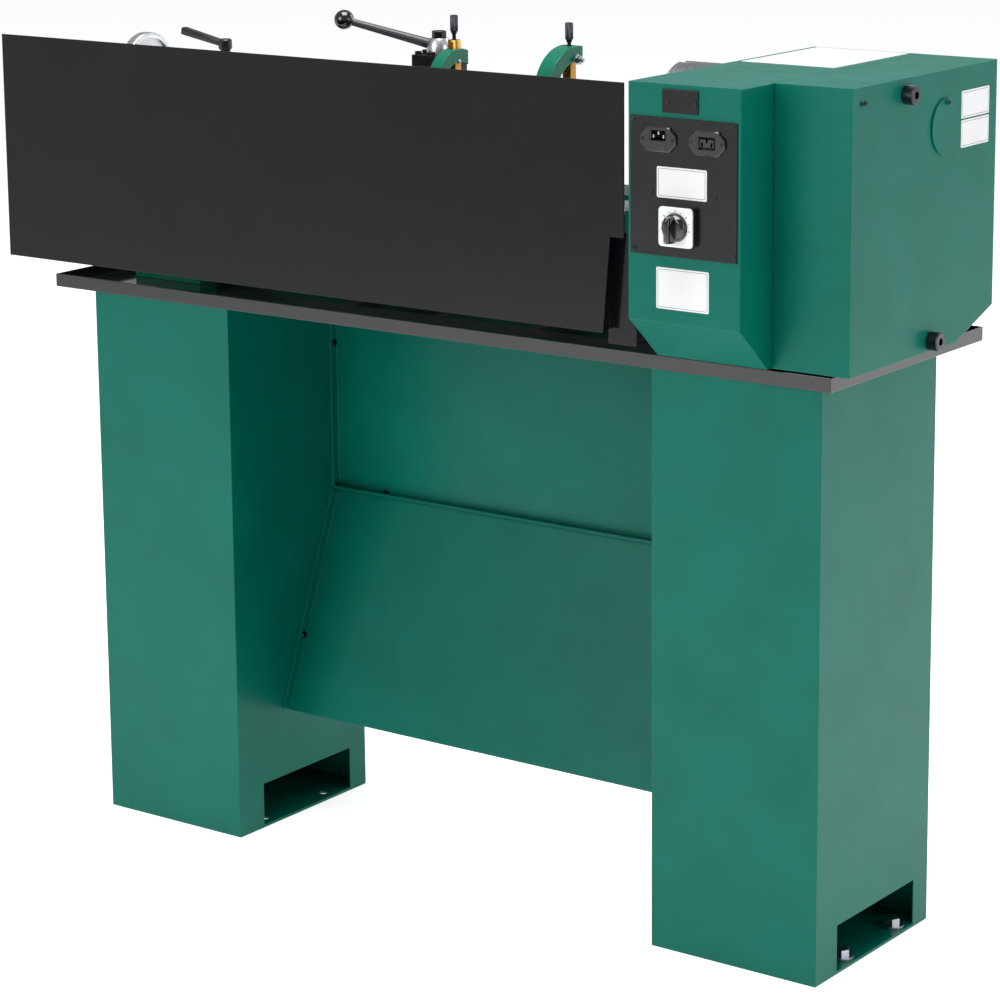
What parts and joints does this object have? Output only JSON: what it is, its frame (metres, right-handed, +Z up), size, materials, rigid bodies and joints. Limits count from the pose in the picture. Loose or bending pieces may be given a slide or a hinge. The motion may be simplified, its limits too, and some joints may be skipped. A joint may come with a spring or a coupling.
{
  "type": "metal lathe",
  "caption": "Bench metal-turning lathe on a two-pedestal steel stand, seen with its rear splash guard, chip tray, end gear cover and electrical box.",
  "frame": {"origin": "on the floor, at the centre of the four anchor holes in the two pedestals", "axes": "+X along the bed towards the tailstock, +Y to the rear (splash guard side), +Z up"},
  "size_m": [1.352, 0.51, 1.15],
  "materials": {
    "green_powder": "fine-textured green powder coat",
    "green_casting": "green enamel over cast iron",
    "black_gloss": "gloss black enamel on sheet steel",
    "black_satin": "satin black on sheet aluminium and steel",
    "black_plastic": "moulded black plastic",
    "white_plastic": "white moulded plate",
    "ground_steel": "ground and turned bright steel",
    "chrome_wheel": "polished chrome on handwheels",
    "blackened_steel": "oil-blackened tool steel",
    "bronze": "machined bronze",
    "belt_rubber": "black toothed-belt rubber",
    "circuit_green": "speed control board and heat sink",
    "stop_red": "red moulded mushroom button"
  },
  "bodies": {
    "stand": {"tailstock_pedestal": "green_powder", "headstock_pedestal": "green_powder", "upper_panel": "green_powder", "lower_panel": "green_powder", "panel_screws": "black_satin", "hex_bolts": "ground_steel", "chip_tray": "black_gloss", "bed": "green_casting", "gear_rack": "ground_steel", "lead_screw_brackets": "green_casting", "headstock_casting": "green_casting", "headstock_cover": "green_powder", "spindle_bearings": "ground_steel", "motor_case": "black_satin", "drive_belt": "belt_rubber", "gear_quadrant": "black_satin", "electrical_box": "green_powder", "switch_panel": "black_satin", "power_sockets": "black_plastic", "cam_switch_body": "white_plastic", "speed_controller": "circuit_green", "splash_guard": "black_gloss"},
    "spindle": {"spindle": "ground_steel", "spindle_drive_set": "ground_steel", "chuck_body": "ground_steel"},
    "jaw_1": {"chuck_jaw_1": "ground_steel"},
    "jaw_2": {"chuck_jaw_2": "ground_steel"},
    "jaw_3": {"chuck_jaw_3": "ground_steel"},
    "motor_rotor": {"motor_pulley": "ground_steel"},
    "idler": {"idler_gear": "ground_steel"},
    "feed_screw": {"lead_screw": "ground_steel"},
    "carriage": {"saddle": "ground_steel", "apron": "green_casting", "follow_rest": "green_casting"},
    "follow_top": {"follow_finger_top": "bronze"},
    "follow_rear": {"follow_finger_rear": "bronze"},
    "carriage_wheel": {"carriage_handwheel": "chrome_wheel"},
    "half_nut": {"half_nut_lever": "black_plastic"},
    "cross": {"cross_slide": "ground_steel"},
    "cross_wheel": {"cross_handle": "chrome_wheel"},
    "swivel": {"swivel_base": "ground_steel"},
    "top": {"top_slide": "ground_steel"},
    "top_wheel": {"top_slide_handle": "chrome_wheel"},
    "post": {"tool_post": "blackened_steel"},
    "post_handle": {"tool_post_handle": "chrome_wheel"},
    "tailstock": {"tailstock_body": "green_casting", "tailstock_clamp": "ground_steel"},
    "quill": {"quill": "ground_steel"},
    "tail_wheel": {"tail_handwheel": "chrome_wheel"},
    "quill_lock": {"quill_lever": "black_plastic"},
    "steady": {"steady_rest": "green_casting"},
    "steady_top": {"steady_rest_top": "green_casting"},
    "steady_f_top": {"steady_finger_top": "bronze"},
    "steady_f_front": {"steady_finger_front": "bronze"},
    "steady_f_rear": {"steady_finger_rear": "bronze"},
    "cover": {"gear_cover": "green_powder", "cover_knobs": "black_satin"},
    "disc": {"bore_disc": "green_powder"},
    "switch": {"switch_knob": "black_plastic"},
    "stop": {"emergency_stop": "stop_red"}
  },
  "joints": [
    {"name": "spindle_spin", "type": "hinge", "parent": "stand", "child": "spindle", "pos_m": [-0.35, -0.074, 1.046], "axis": [1, 0, 0], "continuous": true},
    {"name": "jaw_1_slide", "type": "slide", "parent": "spindle", "child": "jaw_1", "axis": [0, 0, 1], "range_m": [-0.008, 0.014]},
    {"name": "jaw_2_slide", "type": "slide", "parent": "spindle", "child": "jaw_2", "axis": [0, -0.866, -0.5], "range_m": [-0.008, 0.014]},
    {"name": "jaw_3_slide", "type": "slide", "parent": "spindle", "child": "jaw_3", "axis": [0, 0.866, -0.5], "range_m": [-0.008, 0.014]},
    {"name": "motor_spin", "type": "hinge", "parent": "stand", "child": "motor_rotor", "pos_m": [-0.52, 0.085, 0.862], "axis": [1, 0, 0], "continuous": true},
    {"name": "idler_spin", "type": "hinge", "parent": "stand", "child": "idler", "pos_m": [-0.584, -0.10374, 0.93388], "axis": [1, 0, 0], "continuous": true},
    {"name": "lead_screw_spin", "type": "hinge", "parent": "stand", "child": "feed_screw", "pos_m": [0, -0.166, 0.836], "axis": [1, 0, 0], "continuous": true},
    {"name": "carriage_slide", "type": "slide", "parent": "stand", "child": "carriage", "axis": [1, 0, 0], "range_m": [-0.07, 0.08]},
    {"name": "carriage_wheel_turn", "type": "hinge", "parent": "carriage", "child": "carriage_wheel", "pos_m": [0.128, -0.222, 0.8572], "axis": [0, 1, 0], "range_deg": [-327.81, 286.89]},
    {"name": "half_nut_turn", "type": "hinge", "parent": "carriage", "child": "half_nut", "pos_m": [0.238, -0.204, 0.8572], "axis": [0, 1, 0], "range_deg": [0, 35]},
    {"name": "cross_slide_travel", "type": "slide", "parent": "carriage", "child": "cross", "axis": [0, 1, 0], "range_m": [-0.03, 0.03]},
    {"name": "cross_wheel_turn", "type": "hinge", "parent": "carriage", "child": "cross_wheel", "pos_m": [0.178, -0.222, 0.931], "axis": [0, 1, 0], "range_deg": [-3603.6, 3603.6]},
    {"name": "compound_swivel", "type": "hinge", "parent": "cross", "child": "swivel", "pos_m": [0.178, -0.122, 0.968], "axis": [0, 0, 1], "range_deg": [-60, 60]},
    {"name": "top_slide_travel", "type": "slide", "parent": "swivel", "child": "top", "axis": [1, 0, 0], "range_m": [-0.04, 0.03]},
    {"name": "top_wheel_turn", "type": "hinge", "parent": "top", "child": "top_wheel", "pos_m": [0.25, -0.122, 1.013], "axis": [1, 0, 0], "range_deg": [-7203.6, 5403.6]},
    {"name": "tool_post_turn", "type": "hinge", "parent": "top", "child": "post", "pos_m": [0.178, -0.122, 1.05], "axis": [0, 0, 1], "range_deg": [-180, 180]},
    {"name": "tool_handle_turn", "type": "hinge", "parent": "top", "child": "post_handle", "pos_m": [0.178, -0.122, 1.095], "axis": [0, 0, 1], "range_deg": [-90, 40]},
    {"name": "follow_top_travel", "type": "slide", "parent": "carriage", "child": "follow_top", "axis": [0, 0, 1], "range_m": [-0.007, 0.02]},
    {"name": "follow_rear_travel", "type": "slide", "parent": "carriage", "child": "follow_rear", "axis": [0, 1, 0], "range_m": [-0.007, 0.02]},
    {"name": "tailstock_slide", "type": "slide", "parent": "stand", "child": "tailstock", "axis": [1, 0, 0], "range_m": [-0.04, 0.015]},
    {"name": "tail_wheel_turn", "type": "hinge", "parent": "tailstock", "child": "tail_wheel", "pos_m": [0.66, -0.074, 1.046], "axis": [1, 0, 0], "range_deg": [0, 10796.4]},
    {"name": "quill_travel", "type": "slide", "parent": "tailstock", "child": "quill", "axis": [-1, 0, 0], "range_m": [0, 0.075]},
    {"name": "quill_lock_turn", "type": "hinge", "parent": "tailstock", "child": "quill_lock", "pos_m": [0.521, -0.074, 1.08], "axis": [0, 0, 1], "range_deg": [-60, 60]},
    {"name": "steady_slide", "type": "slide", "parent": "stand", "child": "steady", "axis": [1, 0, 0], "range_m": [-0.08, 0.03]},
    {"name": "steady_top_open", "type": "hinge", "parent": "steady", "child": "steady_top", "pos_m": [-0.072, 0.001, 1.046], "axis": [1, 0, 0], "range_deg": [-100, 0]},
    {"name": "steady_top_travel", "type": "slide", "parent": "steady_top", "child": "steady_f_top", "axis": [0, 0, 1], "range_m": [-0.009, 0.02]},
    {"name": "steady_front_travel", "type": "slide", "parent": "steady", "child": "steady_f_front", "axis": [0, -0.866, -0.5], "range_m": [-0.009, 0.02]},
    {"name": "steady_rear_travel", "type": "slide", "parent": "steady", "child": "steady_f_rear", "axis": [0, 0.866, -0.5], "range_m": [-0.009, 0.02]},
    {"name": "cover_lift_off", "type": "slide", "parent": "stand", "child": "cover", "axis": [-1, 0, 0], "range_m": [0, 0.13]},
    {"name": "bore_disc_swing", "type": "hinge", "parent": "cover", "child": "disc", "pos_m": [-0.628, -0.074, 1.076], "axis": [1, 0, 0], "range_deg": [0, 150]},
    {"name": "switch_turn", "type": "hinge", "parent": "stand", "child": "switch", "pos_m": [-0.438, 0.235, 0.9475], "axis": [0, 1, 0], "range_deg": [-60, 60]},
    {"name": "stop_press", "type": "slide", "parent": "stand", "child": "stop", "axis": [0, 1, 0], "range_m": [0, 0.005], "stiffness_N_per_m": 900, "springref_m": -0.002}
  ],
  "couplings": [
    {"joint": "jaw_2_slide", "follows": "jaw_1_slide", "ratio": 1},
    {"joint": "jaw_3_slide", "follows": "jaw_1_slide", "ratio": 1},
    {"joint": "motor_spin", "follows": "spindle_spin", "ratio": 2.5},
    {"joint": "idler_spin", "follows": "spindle_spin", "ratio": -0.34884},
    {"joint": "lead_screw_spin", "follows": "spindle_spin", "ratio": 1},
    {"joint": "carriage_wheel_turn", "follows": "carriage_slide", "rad_per_m": -71.429},
    {"joint": "cross_wheel_turn", "follows": "cross_slide_travel", "rad_per_m": -2094.4},
    {"joint": "top_wheel_turn", "follows": "top_slide_travel", "rad_per_m": 3141.6},
    {"joint": "quill_travel", "follows": "tail_wheel_turn", "m_per_rad": 0.00039789}
  ]
}
